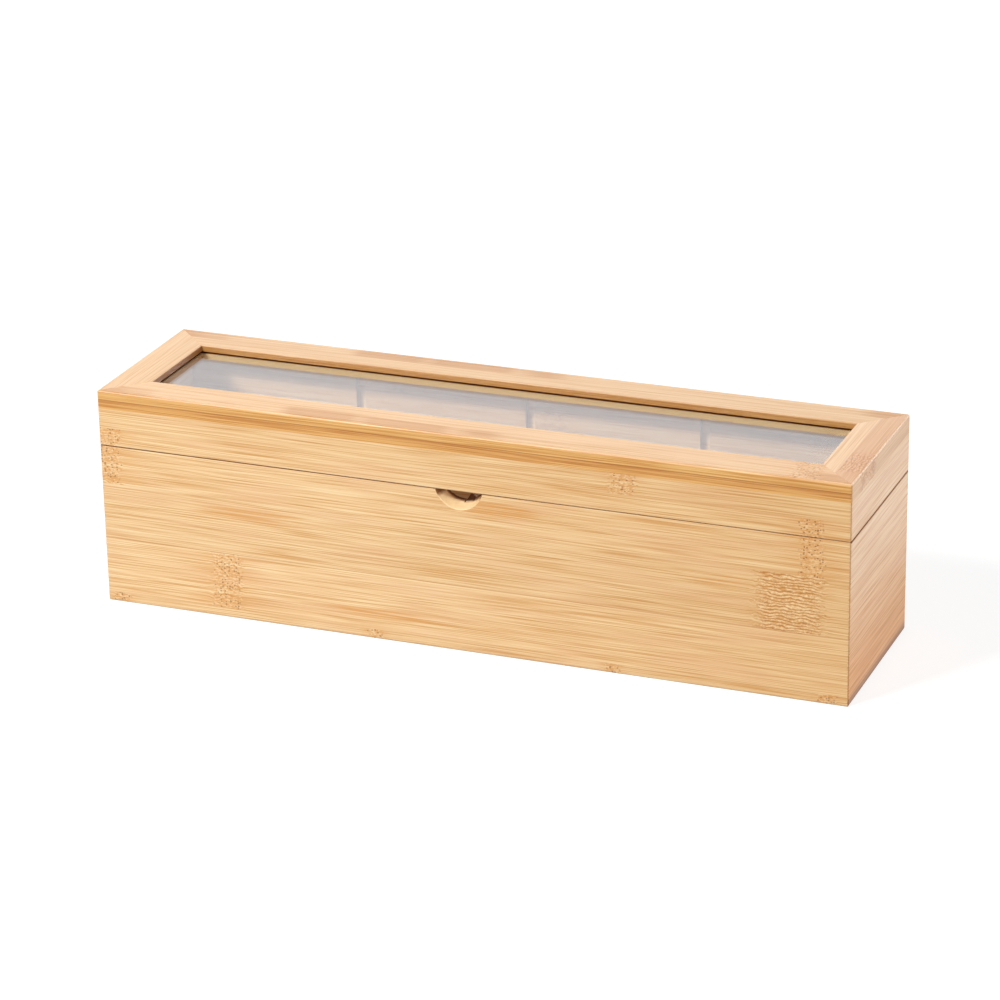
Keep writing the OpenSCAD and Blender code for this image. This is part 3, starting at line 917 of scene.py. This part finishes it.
@dataclass(frozen=True)
class Bamboo:
    """The finish of a bamboo board: its laminated strips, its marks and its satin lacquer, in millimetres.

    The marks are the stem nodes' rings, the orange flames (spots), a glue line at a level, the mitre joints'
    lines, painted shade along the gap where the lid was sawn off, the bare inner faces darkened partly as
    painted shade, painted shade in the dividers' slits, the pale scoop of the notch (partly painted light) with
    painted shade under the lid, the seam between a rail's two plies, and the slot for the pane with painted
    shade in it and painted light on the lip under it. A fade changes the tone over a board; some fades paint
    light and shade.
    """

    name: str
    grain: Grain
    seam: float = WALL_SEAM
    pitch: float = WALL_PITCH
    seed: float = 0.0
    flames: float = 0.15
    contrast: float = 3.6
    rings: tuple[NodeRing, ...] = ()
    spots: tuple[Flame, ...] = ()
    glue: float | None = None
    sawn: float | None = None
    parting_shade_wide: float = 0.42
    parting_shade_gain: float = 1.0
    raw_shaded: bool = False
    joint: float = 0.0
    ply: float | None = None
    slot: tuple[float, float] | None = None
    slits: tuple[float, ...] = ()
    fades: tuple[Fade, ...] = ()
    scoop: Notch | None = None
    tints: tuple[tuple[str, Colour], ...] = ()
    coat: float = 0.2
    coat_fade: tuple[float, float] | None = None

    def material(self) -> bpy.types.Material:
        """Builds the material: the strips' surface, then the marks and the painted light and shade on it one by
        one, then the lacquer.

        A place where the painted shade of the saw cut's gap or of the scoop lies isn't plain: it is rougher
        there and has no coat.
        """
        material, graph, shader, place = new_material(self.name)
        turned = graph.term("ShaderNodeMapping", {"Vector": place, "Rotation": self.grain.turn()})
        surface = BAMBOO.use(
            graph, Vector=turned, Seam=self.seam, Pitch=self.pitch, Seed=self.seed, Flames=self.flames,
            Contrast=self.contrast, **self.masks(graph, place, turned), **dict(self.tints))
        colour, rough, plain = surface["Colour"], surface["Roughness"], 1.0
        if self.glue is not None:
            line = GLUE_LINE.use(graph, Vector=turned, Level=self.glue)
            colour = graph.mix(line["Dark"] * 0.5, colour, srgb(196, 128, 66))
            colour = graph.mix(line["Pale"] * 0.45, colour, srgb(255, 228, 180))
        if self.sawn is not None:
            share = self.parting_shade(graph, place, turned)
            # Painted shade along the gap where the lid was sawn off, with no coat there.
            colour, plain = graph.mix(share, colour, srgb(122, 66, 14)), 1.0 - share
        if self.scoop is not None:
            # The pale scoop, partly painted light, with painted shade that has no coat and is rougher.
            colour, deep = self.scoop_with_shade(graph, place, colour)
            plain = (deep * -0.9 + 1.0) * plain
        if self.ply is not None:
            colour = self.plied(graph, place, colour)
        if self.slot is not None:
            colour = self.groove(graph, place, colour)
        if self.raw_shaded:
            colour = self.raw_and_shaded(graph, place, colour)
        if self.slits:
            colour = self.slit_shade(graph, place, colour)
        for fade in self.fades:
            colour = fade.over(graph, turned, colour)
        coat: Value = self.coat
        if self.coat_fade is not None:
            coat = graph.ramp(graph.axes(turned)[1], *self.coat_fade) * coat
        if isinstance(plain, Term):
            rough, coat = rough + (plain * -0.6 + 0.6), plain * coat
        relief = graph.term("ShaderNodeBump", {
            "Height": surface["Height"], "Strength": 0.25, "Distance": 0.05 * MM})
        graph.feed(shader, {"Base Color": colour, "Roughness": rough, "Normal": relief, "IOR": 1.45,
                            "Coat Weight": coat, "Coat Roughness": 0.34})
        return material

    def masks(self, graph: Graph, place: Term, turned: Term) -> Terms:
        """Gives the masks of the node bands, the flames and the mitre lines, by the surface's input names."""
        found: Terms = {}
        for ring in self.rings:
            band = NODE_RING.use(graph, Vector=turned, Centre=ring.along, Width=ring.width, Low=ring.low,
                                 High=ring.high, Halo=ring.halo, Curly=ring.curly)
            found |= {name: mask.max(found.get(name, 0.0)) for name, mask in band.items()}
        for spot in self.spots:
            patch = FLAME.use(graph, Vector=turned, Along=spot.along, Across=spot.across, Long=spot.long,
                              High=spot.high)
            found["Flame"] = patch["Mask"].max(found.get("Flame", 0.0))
        if self.joint > 0:
            found["Joint"] = MITRE_LINE.use(graph, Vector=place)["Line"] * self.joint
        return found

    def behind(self, graph: Graph, place: Term) -> Term:
        """Gives how far a place lies behind the nearest outer face of the box."""
        x, y, _ = graph.axes(place)
        return (HALF_LENGTH - abs(x)).min(HALF_DEPTH - abs(y))

    def parting_shade(self, graph: Graph, place: Term, turned: Term) -> Term:
        """Gives the mask of the painted shade along the gap at the saw cut on the outer face, fainter towards
        the right end.
        """
        along, across, _ = graph.axes(turned)
        line = graph.fade(abs(across - self.sawn), 0.14, self.parting_shade_wide)
        fainter = graph.ease(along, -150.0, 120.0, 0.8, 0.5)
        return line * fainter * graph.ease(self.behind(graph, place), 0.8, 1.4, self.parting_shade_gain, 0.0)

    def raw_and_shaded(self, graph: Graph, place: Term, colour: Term) -> Term:
        """Darkens the inner faces a little, which have no lacquer, partly as painted shade of the box's inside,
        and paints more shade down in the compartments.
        """
        by_rim, painted_shade_low = (0.72, 0.65, 0.60, 1.0), (0.46, 0.37, 0.31, 1.0)
        share = graph.ease(self.behind(graph, place), 6.0, 7.8)
        # Painted shade, growing down into the compartments.
        depth = graph.ease(graph.axes(place)[2], 66.0, 50.0)
        return graph.shaded(share, colour, graph.mix(depth, by_rim, painted_shade_low))

    def slit_shade(self, graph: Graph, place: Term, colour: Term) -> Term:
        """Paints shade into the grooves that the dividers slide down."""
        half_wide = 2.25
        x, near = graph.axes(place)[0], 0.0
        for centre in self.slits:
            near = (abs(x - centre) < half_wide).max(near)
        # Painted shade in the grooves.
        return graph.shaded(graph.ease(self.behind(graph, place), 4.8, 5.4) * near, colour, (0.55, 0.52, 0.52))

    def scoop_with_shade(self, graph: Graph, place: Term, colour: Term) -> tuple[Term, Term]:
        """Makes the sanded floor of the finger notch pale, partly as painted light, and paints shade on it by
        the rim and where it meets the inside, under the lid.

        Returns:
            The colour, and the mask of the painted shade.
        """
        notch, (x, y, z) = self.scoop, graph.axes(place)
        radius, behind = notch.radius / MM, y + HALF_DEPTH
        lowest = RIM - (notch.deep - notch.radius / math.cos(notch.tilt)) / MM
        above = (z - (behind * math.tan(notch.tilt) + lowest)) * math.cos(notch.tilt)
        away = graph.length(x - notch.centre / MM, above)
        inside = graph.fade(away, radius + 0.1, radius + 0.4) * (z < RIM + 0.05)
        # The pale sanded floor, partly painted light.
        colour = graph.mix(inside * 0.7, colour, srgb(255, 226, 176))
        # Painted shade under the lid: deep in the scoop and by the rim.
        deep = graph.ease(behind, 5.4, 7.0).max(graph.ease(z, RIM - 3.6, RIM - 1.6)) * inside
        return graph.shaded(deep, colour, (0.32, 0.19, 0.12)), deep

    def plied(self, graph: Graph, place: Term, colour: Term) -> Term:
        """Adds the golden, streaky edge of a rail, the seam between its two plies and the warmer lower one."""
        by_seam, by_foot = (0.84, 0.72, 0.60, 1.0), (1.0, 0.97, 0.94, 1.0)
        x, y, z = graph.axes(place)
        outside = graph.fade(HALF_DEPTH - abs(y), 8.0, 9.0)
        edge = graph.fade(z, self.ply + 3.0, self.ply + 4.0) * outside.max(z > self.ply)
        colour = graph.shaded(edge, colour, (0.945, 0.865, 0.56))
        streaks = graph.noise(graph.joined(x / 60.0, z / 0.62, 5.0), 2.0, 0.6)
        colour = graph.shaded(graph.ease(streaks, 0.54, 0.42) * outside, colour, (0.80, 0.66, 0.50))
        level = (graph.noise(graph.joined(x / 60.0, 3.0, 0.0), 2.0) - 0.5) * 0.5 + self.ply
        lower = graph.mix(graph.ease(level - z, 0.2, 3.2), by_seam, by_foot)
        colour = graph.shaded((z < level) * outside, colour, lower)
        line = graph.ease(abs(z - level), 0.10, 0.32, 0.6, 0.0) * outside
        return graph.mix(line, colour, srgb(150, 84, 28))

    def groove(self, graph: Graph, place: Term, colour: Term) -> Term:
        """Paints shade on the bare faces of the pane's groove, darkens the lip over it, and makes the lip under
        it pale as painted light.
        """
        bottom, mouth, lip = 11.5, 17.3, 17.9
        behind, z = self.behind(graph, place), graph.axes(place)[2]
        low, high = self.slot
        raw_shaded = (behind > bottom) * (behind < mouth) * ((z > low - 0.1) * (z < high + 0.1))
        # Painted shade on the groove's bare faces.
        colour = graph.shaded(raw_shaded, colour, (0.14, 0.06, 0.02))
        # Painted light: the lip under the pane is made pale.
        colour = graph.mix((behind > lip) * (z < low) * 0.9, colour, srgb(255, 226, 172))
        return graph.shaded((behind > lip) * (z > high), colour, (0.70, 0.58, 0.45))


@dataclass(frozen=True)
class ClearPane:
    """The finish of the window: polished clear glass with faint wiping marks."""

    name: str = "clear_window"
    roughness: float = 0.02

    def material(self) -> bpy.types.Material:
        """Builds the material."""
        material, graph, shader, place = new_material(self.name)
        wiped = graph.noise(graph.scaled(place, (0.02, 0.08, 0.08)), 3.0, 0.6, 0.8)
        graph.feed(shader, {
            "Roughness": graph.ease(wiped, 0.45, 0.8, self.roughness, self.roughness + 0.04),
            "Base Color": srgb(238, 243, 250), "Transmission Weight": 1.0, "IOR": 1.5})
        return material


@dataclass(frozen=True)
class Brass:
    """The finish of the hinges: brass plating, satin on the leaves and brighter on pins and screws."""

    name: str
    roughness: float
    relief: float

    def material(self) -> bpy.types.Material:
        """Builds the material."""
        material, graph, shader, place = new_material(self.name)
        plate = METAL.use(graph, Vector=place, Roughness=self.roughness)
        relief = graph.term("ShaderNodeBump", {
            "Height": plate["Height"], "Strength": self.relief, "Distance": 0.02 * MM})
        graph.feed(shader, {"Base Color": plate["Colour"], "Roughness": plate["Roughness"], "Normal": relief,
                            "Metallic": 1.0})
        return material


def dress(piece: bpy.types.Object, material: bpy.types.Material, body: str, slot: str, *nodes: str) -> None:
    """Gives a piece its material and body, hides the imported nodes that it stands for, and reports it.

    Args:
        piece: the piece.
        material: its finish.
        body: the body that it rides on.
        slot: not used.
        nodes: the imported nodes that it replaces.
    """
    piece.data.materials.clear()
    piece.data.materials.append(material)
    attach(piece, body)
    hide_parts(*nodes)
    LOG.info("%s: %d faces, on %s, for %s", piece.name, len(piece.data.polygons), body, ", ".join(nodes))


@dataclass
class Walls:
    """The eight wall boards: four of the lower part and four of the lid, sawn from the same four boards."""

    sizes: BoxSizes
    notch: Notch

    def finishes(self) -> dict[Side, bpy.types.Material]:
        """Builds one finish for each side, so that the grain runs on from the lower part into the lid."""
        front_rings = (
            NodeRing(-110.7, *strip(0), 14, 16, 0.4), NodeRing(143.5, *strip(1), 26, 10, 1.0),
            NodeRing(152.5, *strip(2), 11, 14, 0.0), NodeRing(-164.5, *strip(2), 11, 16),
            NodeRing(71.0, *strip(3), 12, 10), NodeRing(-41.0, *strip(-1), 7, 5),
            NodeRing(66.0, *strip(-1), 7, 5), NodeRing(160.0, *strip(-1), 8, 8),
            NodeRing(-162.0, *strip(-1), 8, 8))
        front_flames = (
            Flame(-100.0, 49.0, 64.0, 9.0), Flame(116.0, 48.0, 34.0, 8.0), Flame(15.0, 67.0, 34.0, 9.0),
            Flame(-38.0, 12.0, 50.0, 6.0))
        back_rings = (
            NodeRing(88.0, *strip(0), 13, 16), NodeRing(-124.0, *strip(1), 14, 18, 0.8),
            NodeRing(12.0, *strip(2), 12, 16), NodeRing(-60.0, *strip(3), 12, 12))
        left_rings = (NodeRing(17.0, *strip(1), 12, 14),)
        # Along the front, painted light falling off, darker towards the right; across it, a little darker
        # towards the lid's top.
        front_fades = (
            Fade(0, -60.0, 150.0, last=(0.93, 0.88, 0.80)), Fade(1, 60.0, 86.0, last=(0.97, 0.95, 0.92)))
        # Painted light on the right end: a pale, cool sheen towards the top, darker and warmer lower down as
        # painted shade, and a painted contact shadow along the foot.
        right_sheen_and_shade = (
            Fade(1, 12.0, 58.0, (0.91, 0.66, 0.47), (0.99, 0.93, 0.98)), Fade(1, 1.0, 5.0, (0.32, 0.27, 0.28)))
        slits = tuple(centre / MM for centre in self.sizes.grooves)
        # Mitre lines, bare inner faces darkened partly as painted shade, and painted shade along the saw cut's
        # gap.
        sawn = {"joint": 0.7, "raw_shaded": True, "sawn": (self.sizes.rim + self.sizes.lid_low) / 2 / MM}
        boards = {
            Side.FRONT: Bamboo("bamboo_front", Grain.LONG_WALL, rings=front_rings, spots=front_flames,
                               glue=strip(0)[1], scoop=self.notch, slits=slits, fades=front_fades, **sawn),
            Side.BACK: Bamboo("bamboo_back", Grain.LONG_WALL, seed=41, rings=back_rings, slits=slits, **sawn),
            Side.LEFT: Bamboo("bamboo_left", Grain.END_WALL, seed=87, rings=left_rings, **sawn),
            Side.RIGHT: Bamboo("bamboo_right", Grain.END_WALL, seed=129, parting_shade_wide=0.9, parting_shade_gain=1.45,
                               fades=right_sheen_and_shade, coat=0.5, coat_fade=(16.0, 62.0), **sawn),
        }
        return {side: board.material() for side, board in boards.items()}

    def build(self) -> None:
        """Makes and dresses the eight boards."""
        size = self.sizes
        finishes = self.finishes()
        for side in Side:
            word = side.name.lower()
            notch = self.notch if side is Side.FRONT else None
            lower = WallBoard(f"lower_{word}_board", side, size, 0.0, size.rim, size.edge_r, size.panel, notch)
            dress(lower.build(), finishes[side], "base", "bamboo_board", f"base_{word}_wall")
            upper = WallBoard(f"lid_{word}_board", side, size, size.rail_low, size.lid_low, 0.0, 0.0)
            dress(upper.build(), finishes[side], "lid", "bamboo_board", f"lid_{word}_wall")


@dataclass
class Inside:
    """The floor panel and the three dividers."""

    sizes: BoxSizes
    notch: Notch
    edge: float = 0.15 * MM
    divider_top: float = 0.6 * MM

    def scooped(self, x: np.ndarray, y: np.ndarray) -> np.ndarray:
        """Gives the height of the finger notch's floor, which runs on into the middle divider."""
        return self.notch.floor(x, y + self.sizes.depth / 2, self.sizes.rim)

    def build(self) -> None:
        """Makes and dresses the panel and the dividers."""
        # The bare tone of the panel and dividers, darkened partly as painted shade of the box's inside.
        inside_shade_tone = (0.80, 0.72, 0.66)
        raw_and_shaded = Fade(2, 0.0, 1.0, inside_shade_tone, inside_shade_tone)
        floor_finish = Bamboo("bamboo_floor_panel", Grain.LONG_FLAT, seam=-12.0, pitch=24.0, seed=203,
                              rings=(NodeRing(-64.0, -12.0, 12.0, 12), NodeRing(102.0, 12.0, 36.0, 12)),
                              fades=(raw_and_shaded,))
        panel = eased_slab("bottom_panel", *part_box("floor_panel"), self.edge)
        dress(panel, floor_finish.material(), "base", "bamboo_panel", "floor_panel")
        # The middle divider's scooped top gets the notch's pale floor and painted shade too.
        divider_finish = Bamboo("bamboo_divider", Grain.END_WALL, seam=16.0, pitch=22.0, seed=311,
                                rings=(NodeRing(-14.0, 38.0, 60.0, 11),), fades=(raw_and_shaded,),
                                scoop=self.notch).material()
        for place in ("left", "middle", "right"):
            ceiling = self.scooped if place == "middle" else None
            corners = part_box(f"divider_{place}")
            board = eased_slab(f"partition_{place}", *corners, self.edge, self.divider_top, ceiling)
            dress(board, divider_finish, "base", "bamboo_panel", f"divider_{place}")


@dataclass
class LidFrame:
    """The four mitred rails and the pane that they hold."""

    sizes: BoxSizes
    pane_gap: float = 0.5 * MM
    pane_edge: float = 0.2 * MM

    def finishes(self) -> dict[Side, bpy.types.Material]:
        """Builds one finish for each rail."""
        upper_ply, half = 4.1, HALF_LENGTH
        ply = self.sizes.top / MM - upper_ply
        pane_lo, pane_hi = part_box("window_pane")
        slot = (pane_lo.z / MM, (pane_hi.z + self.pane_gap) / MM)
        tints = (("Deep", srgb(206, 150, 88)), ("Tan", srgb(233, 188, 137)), ("Cream", srgb(243, 206, 161)),
                 ("Pink", srgb(230, 184, 138)))
        rail = {"contrast": 2.6, "flames": 0.06, "slot": slot, "tints": tints}
        # Painted shade on the left rail's lip by the pane, the two strips of the right rail, and a painted
        # highlight on the edge where its top turns down.
        left_lip_shade = Fade(1, half - 17.98, half - 17.9, (0.66, 0.52, 0.40))
        right_strips = Fade(1, 9.7 - half, 10.3 - half, (0.86, 0.73, 0.62), (1.03, 1.03, 1.06))
        right_edge_highlight = Fade(1, 0.1 - half, 0.9 - half, (1.05, 1.14, 1.22))
        rails = {
            Side.FRONT: Bamboo("bamboo_front_rail", Grain.LONG_FLAT, seam=-60.0, pitch=80.0, seed=17, ply=ply,
                               rings=(NodeRing(148.0, -42.0, -20.0, 12, 12, 0.6),), **rail),
            Side.BACK: Bamboo("bamboo_back_rail", Grain.LONG_FLAT, seam=-10.0, pitch=80.0, seed=23, ply=ply,
                              **rail),
            Side.LEFT: Bamboo("bamboo_left_rail", Grain.SIDE_FLAT, seam=half - 11, pitch=20.0, seed=31,
                              fades=(left_lip_shade,), **rail),
            Side.RIGHT: Bamboo("bamboo_right_rail", Grain.SIDE_FLAT, seam=10 - half, pitch=20.0, seed=37,
                               rings=(NodeRing(-19.0, -16 - half, 10 - half, 20, 10, 0.8),),
                               fades=(right_strips, right_edge_highlight), coat=0.5, **rail),
        }
        return {side: board.material() for side, board in rails.items()}

    def build(self) -> None:
        """Makes and dresses the rails and the pane."""
        lo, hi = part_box("window_pane")
        finishes = self.finishes()
        for side in Side:
            word = side.name.lower()
            rail = FrameRail(f"{word}_rail", side, self.sizes, (lo.z, hi.z + self.pane_gap))
            dress(rail.build(), finishes[side], "lid", "bamboo_frame", f"frame_{word}_rail")
        pane = eased_slab("window_glass", lo, hi, self.pane_edge)
        pane.visible_shadow = False
        pane.visible_diffuse = False
        dress(pane, ClearPane().material(), "lid", "clear_pane", "window_pane")


@dataclass
class Hinges:
    """Two brass hinges: two leaves and a pin each, and the screws that hold the leaves."""

    edge: float = 0.1 * MM

    def build(self) -> None:
        """Makes and dresses the leaves and pins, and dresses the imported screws."""
        satin = Brass("brass_leaf", 0.28, 0.25).material()
        bright = Brass("brass_wire", 0.2, 0.1).material()
        for side in ("left", "right"):
            for body in ("base", "lid"):
                node = f"hinge_{body}_leaf_{side}"
                leaf = eased_copy(f"{body}_leaf_{side}", node, self.edge)
                dress(leaf, satin, body, "hinge_brass", node)
            node = f"hinge_pin_{side}"
            dress(turned_pin(f"pin_{side}", *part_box(node)), bright, "base", "pin_brass", node)
        for node in ("hinge_base_screws", "hinge_lid_screws"):
            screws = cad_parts[node].data
            screws.materials.clear()
            screws.materials.append(bright)
            LOG.info("%s: packed piece with the %s finish", node, bright.name)


def direction(azimuth: float, elevation: float) -> Vector:
    """Gives a unit vector, turned from the front to the right by an azimuth and raised, both in degrees."""
    around, raised = math.radians(azimuth), math.radians(elevation)
    return Vector((math.sin(around) * math.cos(raised), -math.cos(around) * math.cos(raised), math.sin(raised)))


@dataclass(frozen=True)
class PhotoCamera:
    """The camera at the photograph's angle, with its place in metres and its angles in degrees."""

    place: tuple[float, float, float] = (0.5617, -1.4002, 0.6598)
    azimuth: float = 21.853
    elevation: float = 21.900
    roll: float = -1.056
    lens: float = 136.42
    sensor: float = 36.0

    def build(self) -> None:
        """Makes the camera and sets it as the scene's."""
        back, roll = direction(self.azimuth, self.elevation), math.radians(self.roll)
        right = (-back).cross(Vector((0, 0, 1))).normalized()
        up = back.cross(right)
        level_right = math.cos(roll) * right + math.sin(roll) * up
        level_up = math.cos(roll) * up - math.sin(roll) * right
        data = bpy.data.cameras.new("photo_camera")
        data.lens, data.sensor_width = self.lens, self.sensor
        data.clip_start, data.clip_end = 0.01, 50
        camera = bpy.data.objects.new("photo_camera", data)
        turn = Matrix((level_right, level_up, back)).transposed().to_4x4()
        camera.matrix_world = Matrix.Translation(self.place) @ turn
        bpy.context.scene.collection.objects.link(camera)
        bpy.context.scene.camera = camera


@dataclass(frozen=True)
class SoftBox:
    """A large soft lamp, placed by its direction from the box and turned to it at the height of its aim."""

    name: str
    azimuth: float
    elevation: float
    distance: float
    wide: float
    high: float
    radiance: float
    tint: Factor = (1.0, 1.0, 1.0)
    aim: float = 0.05

    def build(self) -> None:
        """Makes the lamp; its power is radiance * pi * area."""
        way = direction(self.azimuth, self.elevation)
        data = bpy.data.lights.new(self.name, "AREA")
        data.shape, data.size, data.size_y = "RECTANGLE", self.wide, self.high
        data.energy = self.radiance * math.pi * self.wide * self.high
        data.color = self.tint
        lamp = bpy.data.objects.new(self.name, data)
        lamp.location = way * self.distance + Vector((0, 0, self.aim))
        lamp.rotation_mode = "QUATERNION"
        lamp.rotation_quaternion = way.to_track_quat("Z", "Y")
        lamp.visible_camera = False
        bpy.context.scene.collection.objects.link(lamp)


@dataclass(frozen=True)
class Studio:
    """A pale floor, a white background and soft lamps at a plain level."""

    floor_half: float = 12.0
    floor_tone: float = 0.38
    floor_glow: float = 0.78
    floor_far_glow: float = 0.95
    floor_reach: tuple[float, float] = (0.5, 2.5)
    sky: float = 0.2

    def seen(self, graph: Graph) -> Term:
        """Gives 1 for rays that show the background: those of the camera, of gloss and through glass."""
        path = graph.node("ShaderNodeLightPath").outputs
        first = graph.maths("MAXIMUM", path["Is Camera Ray"], path["Is Glossy Ray"])
        return first.max(path["Is Transmission Ray"])

    def floor(self) -> None:
        """Makes the floor, which is pale under the lamps, keeps shadows and lets views from below through."""
        half = self.floor_half
        corners = [(-half, -half, 0), (half, -half, 0), (half, half, 0), (-half, half, 0)]
        floor = new_piece("studio_floor", corners, [(0, 1, 2, 3)])
        material = bpy.data.materials.new("pale_floor")
        material.use_nodes = True
        graph = Graph(material.node_tree)
        material.node_tree.nodes.clear()
        diffuse = graph.node("ShaderNodeBsdfDiffuse", {"Color": (self.floor_tone,) * 3 + (1.0,)})
        x, y, _ = graph.axes(graph.node("ShaderNodeTexCoord").outputs["Object"])
        level = graph.ease(graph.length(x, y), *self.floor_reach, self.floor_glow, self.floor_far_glow)
        glow = graph.node("ShaderNodeEmission", {"Strength": self.seen(graph) * level})
        lit = graph.node("ShaderNodeAddShader", {0: diffuse.outputs[0], 1: glow.outputs[0]})
        clear = graph.node("ShaderNodeBsdfTransparent")
        under = graph.node("ShaderNodeNewGeometry").outputs["Backfacing"]
        both = graph.node("ShaderNodeMixShader", {0: under, 1: lit.outputs[0], 2: clear.outputs[0]})
        graph.node("ShaderNodeOutputMaterial", {"Surface": both.outputs[0]})
        floor.data.materials.append(material)
        floor.visible_shadow = False

    def world(self) -> None:
        """Makes the world: white where it is seen, and a softer even light elsewhere."""
        world = bpy.data.worlds.new("studio_world")
        world.use_nodes = True
        bpy.context.scene.world = world
        graph = Graph(world.node_tree)
        background = world.node_tree.nodes["Background"]
        background.inputs["Color"].default_value = (1, 1, 1, 1)
        graph.feed(background, {"Strength": self.seen(graph) * (1.0 - self.sky) + self.sky})

    def build(self) -> None:
        """Sets the whole studio up."""
        self.floor()
        self.world()
        lamps = (  # name, azimuth, elevation, distance, width, height, radiance
            SoftBox("key_box", -33, 43, 1.8, 0.5, 0.32, 62.0),
            SoftBox("side_box", 75, 12, 2.0, 1.0, 1.0, 4.8, (0.96, 0.96, 1.0)),
            SoftBox("fill_box", 148, 14, 2.0, 1.2, 0.8, 3.8),
            SoftBox("under_box", 0, -90, 1.6, 1.6, 1.6, 0.85),
            SoftBox("back_box", -158, 22, 2.0, 2.2, 1.1, 0.6))
        for lamp in lamps:
            lamp.build()
        bpy.context.scene.view_settings.view_transform = "Standard"


def main() -> None:
    """Builds the box in order, then the camera and the studio."""
    logging.basicConfig(level=logging.INFO, format="%(name)s: %(message)s")
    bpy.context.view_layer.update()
    sizes = BoxSizes.from_frame()
    PhotoCamera().build()
    notch = Notch()
    Walls(sizes, notch).build()
    Inside(sizes, notch).build()
    LidFrame(sizes).build()
    Hinges().build()
    Studio().build()


if __name__ == "__main__":
    main()
